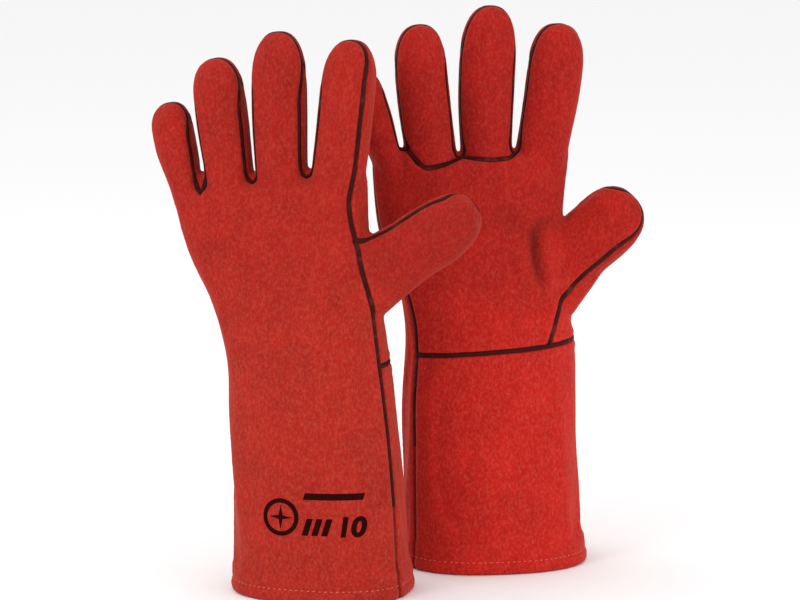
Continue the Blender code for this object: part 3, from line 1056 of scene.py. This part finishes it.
LEFT_SUEDE = suede_material("left_red_suede", srgb(161, 30, 20))
RIGHT_SUEDE = suede_material("right_red_suede", srgb(163, 24, 18))
WELT = welt_material()
HAND_LINING = cloth_material("hand_lining_cotton", srgb(222, 212, 190), srgb(176, 164, 140), 0.0009)
CUFF_LINING = cloth_material("cuff_lining_canvas", srgb(196, 186, 160), srgb(140, 130, 108), 0.0012)
THREAD = thread_material()
INK = ink_material()


# ---- placing the pieces

def blend_lines(glove, local_to_row):
    """For each region, the bodies on either side of its joint and the two points where its bend line starts
    and ends.
    """
    turn = local_to_row.to_3x3()
    rows = [("trunk", "cuff", "hand", "wrist", Vector((0.0, 0.0, 1.0)), WRIST_BEND)]
    across = (turn @ in_plane(-glove.slope, 1.0)).normalized()
    rows += [(name, "hand", name, name, across, DIGIT_BEND) for name in glove.digits]
    rows.append(("thumb", "hand", "thumb", "thumb", (turn @ in_plane(*THUMB_OUT)).normalized(), THUMB_BEND))
    lines = {}
    for region, body, other, joint, along, (start, end) in rows:
        root = Vector(named(frame["joints"], f"{glove.name}_{joint}_bend")["pos_m"])
        bodies = (f"{glove.name}_{body}", f"{glove.name}_{other}")
        lines[region] = (*bodies, root + along * start, root + along * end)
    return lines


def add_piece(glove, mesh, material, line, slot, *nodes):
    """Links a finished mesh with its material, and hides the glove's nodes named, whose place it takes. Its
    line is not used.
    """
    mesh.materials.append(material)
    obj = link(mesh.name, mesh)
    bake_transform(obj)
    if nodes:
        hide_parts(*(f"{glove.name}_{node}" for node in nodes))


# ---- a glove

def faces_of(skin):
    return [list(polygon.vertices) for polygon in skin.polygons]


def regions_of(glove, points, faces):
    """The middle of each face, and its region."""
    centres = np.array([points[face].mean(axis=0) for face in faces])
    return centres, region_of(glove, centres)


def bounding_tree(skin):
    mesh = bmesh.new()
    mesh.from_mesh(skin)
    tree = BVHTree.FromBMesh(mesh)
    mesh.free()
    return tree


def region_names(glove):
    return [*glove.digits, "thumb"]


def cut_panel(glove, surface, where, mask, name, thickness, local_to_row):
    """A panel cut from a surface, which is given as its points, normals, traits, faces and regions."""
    points, normals, traits, faces, region = surface
    wanted = mask & (region == (-1 if where == "trunk" else region_names(glove).index(where)))
    chosen = [faces[i] for i in np.flatnonzero(wanted)]
    return shell_mesh(f"{glove.name}_{name}", points, normals, traits, chosen, thickness, local_to_row)


def add_leather(glove, skin, seams, local_to_row, lines, suede):
    points, normals, traits = shaped(glove, skin, seams)
    faces = faces_of(skin)
    centres, region = regions_of(glove, points, faces)
    back = panel_of(glove, centres, region)
    tilt = np.clip(centres[:, 0] / 0.05, -1.0, 1.0)
    low = centres[:, 2] < WRIST - WRIST_SEAM_DROP + WRIST_SEAM_SLOPE * tilt
    rows = [
        ("back", "trunk", back, "cuff_back", "hand_back"),
        ("palm", "trunk", ~back & ~low, "palm_panel"),
        ("cuff_front", "trunk", ~back & low, "cuff_front"),
    ]
    for digit in region_names(glove):
        rows.append((f"{digit}_back", digit, back, f"{digit}_back"))
        rows.append((f"{digit}_front", digit, ~back, f"{digit}_front"))
    surface = (points, normals, traits, faces, region)
    for part, where, mask, *nodes in rows:
        # The tint per point, partly hue and partly painted light and shade: the cuff lighter, the fingers and
        # thumb darker.
        traits["dye"] = tint_and_painted_light_at(glove, points, where == "thumb")
        mesh = cut_panel(glove, surface, where, mask, f"{part}_leather", LEATHER, local_to_row)
        add_piece(glove, mesh, suede, lines[where], "split_leather", *nodes)


def tucked_under(tree, points):
    """Points moved inwards wherever they would come through the leather."""
    for i, point in enumerate(points):
        place, normal, _, _ = tree.find_nearest(Vector(point))
        lack = LEATHER + LINING_CLEARANCE - (place - Vector(point)).dot(normal)
        if lack > 0.0:
            points[i] -= np.array(normal) * lack


def add_linings(glove, tree, local_to_row, lines):
    skin = closed_form(glove, LINING_INSET, LINING_VOXEL, 4)
    points, normals = arrays(skin)
    points += normals * np.minimum(folds(glove, points + normals * LINING_INSET) * 1.1, 0.0)[:, None]
    tucked_under(tree, points)
    faces = faces_of(skin)
    centres, region = regions_of(glove, points, faces)
    low = centres[:, 2] < WRIST
    rows = [
        ("cuff", "trunk", low & (centres[:, 2] > HEM_FOLD_HEIGHT), CUFF_LINING, "cuff_lining"),
        ("hand", "trunk", ~low, HAND_LINING, "hand_lining"),
    ]
    rows += [(digit, digit, True, HAND_LINING, "hand_lining") for digit in region_names(glove)]
    surface = (points, normals, {}, faces, region)
    for part, where, mask, cloth, slot in rows:
        mesh = cut_panel(glove, surface, where, mask, f"{part}_lining_cloth", LINING, local_to_row)
        add_piece(glove, mesh, cloth, lines[where], slot, f"{part}_lining")


def add_welts(glove, seams, local_to_row, lines):
    stands_for = {
        "thumb_side_welt": "cuff_welt_thumb_side",
        "little_side_welt": "cuff_welt_little_side",
        "wrist_welt": "wrist_welt",
        "finger_base_welt": "finger_base_welt",
        "thumb_welt": "thumb_welt",
        **{f"{digit}_back_welt": f"{digit}_welt" for digit in glove.digits},
    }
    for number, (label, region, line, normals) in enumerate(seams):
        tapers = "palm" in label or "back" in label
        breadth = THUMB_WELT_BREADTH if label == "thumb_welt" else 1.0
        if label in ("thumb_side_welt", "little_side_welt"):
            kept = line[:, 2] > WELT_ENDS[glove.name][label == "little_side_welt"]
            line, normals = line[kept], normals[kept]
        name = f"{glove.name}_{label}_strip"
        mesh = welt_mesh(name, line, normals, local_to_row, number * 1.7, tapers, breadth)
        nodes = [stands_for[label]] if label in stands_for else []
        add_piece(glove, mesh, WELT, lines[region], "welt_leather", *nodes)


def capsule_into(form, centre, along, out, length, half):
    """One stitch: a short round thread, sunk a little at both ends."""
    side = along.cross(out)
    rows = []
    for i in range(7):
        t = -1.0 + 2.0 * i / 6
        radius = half * math.sqrt(max(1.0 - abs(t) ** 3, 0.02))
        middle = centre + along * (t * length / 2) - out * (abs(t) ** 3 * half * 1.1)
        turns = np.linspace(0, 2 * math.pi, 9)[:-1]
        corners = [middle + side * radius * math.cos(a) + out * radius * math.sin(a) for a in turns]
        rows.append([form.verts.new(corner) for corner in corners])
    close_rows(form, rows)


def add_hem_stitches(glove, tree, local_to_row, lines):
    ring = [on_ring(hand_ring(glove, HEM_STITCH_HEIGHT), a) for a in np.linspace(0.0, 2 * math.pi, 241)]
    line, normals = laid_on(tree, ring, STITCH_STEP, 1)
    form = bmesh.new()
    turn = local_to_row.to_3x3()
    for point, normal, ahead in zip(line[:-1], normals[:-1], np.diff(line, axis=0)):
        out = (turn @ Vector(normal)).normalized()
        along = (turn @ Vector(ahead)).normalized()
        middle = local_to_row @ Vector(point) - out * STITCH_SUNK
        capsule_into(form, middle, along, out, STITCH_LENGTH, STITCH_HALF)
    mesh = mesh_from(form, f"{glove.name}_hem_stitches")
    mesh.shade_smooth()
    add_rest(mesh)
    add_piece(glove, mesh, THREAD, lines["trunk"], "split_leather")


def polygon_into(form, rim):
    form.faces.new([form.verts.new((x, 0.0, z)) for x, z in rim])


def around(centre, reach, angle):
    return centre[0] + reach * math.cos(angle), centre[1] + reach * math.sin(angle)


def ring_into(form, centre, outer, inner, count=40):
    angles = [2 * math.pi * i / count for i in range(count)]
    rows = []
    for reach in (outer, inner):
        rim = (around(centre, reach, angle) for angle in angles)
        rows.append([form.verts.new((x, 0.0, z)) for x, z in rim])
    for i in range(count):
        j = (i + 1) % count
        form.faces.new((rows[0][i], rows[0][j], rows[1][j], rows[1][i]))


def size_mark():
    """A plain printed mark, flat in X and Z: a ring with a spark in it, slanted bars, and the size number."""
    form = bmesh.new()
    ring_into(form, MARK_CENTRE, 0.0115, 0.0088)
    rim = [around(MARK_CENTRE, 0.0018 if i % 2 else 0.0076, math.pi / 4 * i) for i in range(8)]
    for i in range(8):
        polygon_into(form, (MARK_CENTRE, rim[i], rim[(i + 1) % 8]))
    bars = [(-0.0025, 0.0330, 0.0640, 0.0680)]
    bars += [(-0.0030 + 0.0060 * i, 0.0008 + 0.0060 * i, 0.0420, 0.0525) for i in range(3)]
    for left, right, low, high in bars:
        lean = (high - low) * 0.3
        polygon_into(form, ((left, low), (right, low), (right + lean, high), (left + lean, high)))
    curve = bpy.data.curves.new("size", "FONT")
    curve.body = "10"
    curve.size = 0.0165
    curve.offset = 0.0007
    curve.shear = 0.12
    number = link("size", curve)
    flat = bpy.data.meshes.new_from_object(number.evaluated_get(bpy.context.evaluated_depsgraph_get()))
    bpy.data.objects.remove(number)
    flat.transform(Matrix.Translation((0.0182, 0.0, 0.0420)) @ Matrix.Rotation(math.pi / 2, 4, "X"))
    form.from_mesh(flat)
    bpy.data.meshes.remove(flat)
    bmesh.ops.triangulate(form, faces=form.faces)
    for _ in range(6):
        long_edges = [edge for edge in form.edges if edge.calc_length() > MARK_EDGE]
        bmesh.ops.subdivide_edges(form, edges=long_edges, cuts=1)
        bmesh.ops.triangulate(form, faces=[face for face in form.faces if len(face.verts) > 3])
    return form


def add_size_mark(glove, tree, local_to_row, lines):
    form = size_mark()
    for vert in form.verts:
        start = Vector((vert.co.x, 0.1, vert.co.z))
        place, normal, _, _ = tree.ray_cast(start, Vector((0.0, -1.0, 0.0)))
        vert.co = local_to_row @ (place + normal * INK_PROUD)
    mesh = mesh_from(form, f"{glove.name}_size_mark")
    add_rest(mesh)
    add_piece(glove, mesh, INK, lines["trunk"], "split_leather")


def add_glove(glove, suede):
    local_to_row = placement(glove)
    lines = blend_lines(glove, local_to_row)
    skin = closed_form(glove, 0.0, VOXEL, 10)
    seams = all_seams(glove, bounding_tree(skin))
    add_leather(glove, skin, seams, local_to_row, lines, suede)
    tree = bounding_tree(skin)
    add_welts(glove, seams, local_to_row, lines)
    add_hem_stitches(glove, tree, local_to_row, lines)
    add_linings(glove, tree, local_to_row, lines)
    if glove.name == "left":
        add_size_mark(glove, tree, local_to_row, lines)


# ---- stage, light and camera

def add_stage():
    half = 6.0
    corners = [(-half, -half, 0), (half, -half, 0), (half, half, 0), (-half, half, 0)]
    floor = bpy.data.meshes.new("floor")
    floor.from_pydata(corners, [], [(0, 1, 2, 3)])
    paint = bpy.data.materials.new("pale_floor")
    paint.use_nodes = True
    shader = paint.node_tree.nodes["Principled BSDF"]
    shader.inputs["Base Color"].default_value = (0.96, 0.96, 0.96, 1.0)
    shader.inputs["Roughness"].default_value = 0.9
    floor.materials.append(paint)
    obj = link("floor", floor)
    obj.location.z = -0.0003


def add_area_light(name, place, target, size, power):
    light = bpy.data.lights.new(name, "AREA")
    light.shape = "DISK"
    light.size = size
    light.energy = power
    obj = link(name, light)
    obj.location = place
    obj.rotation_euler = (Vector(target) - Vector(place)).to_track_quat("-Z", "Y").to_euler()
    obj.visible_camera = False


def add_lights():
    centre = (0.0, 0.0, 0.18)
    add_area_light("key", (-1.3, -1.3, 1.1), centre, 0.9, 9.0)
    add_area_light("fill", (1.5, -1.3, 0.4), (0.06, 0.04, 0.10), 0.8, 6.0)
    add_area_light("top", (-0.2, 0.3, 1.7), centre, 1.0, 4.0)
    world = bpy.data.worlds.new("studio")
    bpy.context.scene.world = world
    world.use_nodes = True
    background = world.node_tree.nodes["Background"]
    background.inputs["Color"].default_value = (1.0, 1.0, 1.0, 1.0)
    background.inputs["Strength"].default_value = 0.95


CAMERA_ELEVATION = math.radians(10)
CAMERA_AWAY = 2.6
CAMERA_TARGET = Vector((-0.001, 0.0, 0.1735))
PHOTO_WIDTH = 0.4965


def add_camera():
    camera = bpy.data.cameras.new("camera")
    camera.sensor_width = 36.0
    camera.lens = camera.sensor_width * CAMERA_AWAY / PHOTO_WIDTH
    camera.clip_end = 50.0
    obj = link("camera", camera)
    away = Vector((0.0, -math.cos(CAMERA_ELEVATION), math.sin(CAMERA_ELEVATION))) * CAMERA_AWAY
    obj.location = CAMERA_TARGET + away
    obj.rotation_euler = (-away).to_track_quat("-Z", "Y").to_euler()
    bpy.context.scene.camera = obj


for glove, suede in ((LEFT, LEFT_SUEDE), (RIGHT, RIGHT_SUEDE)):
    add_glove(glove, suede)
add_stage()
add_lights()
add_camera()
bpy.context.scene.view_settings.view_transform = "Standard"
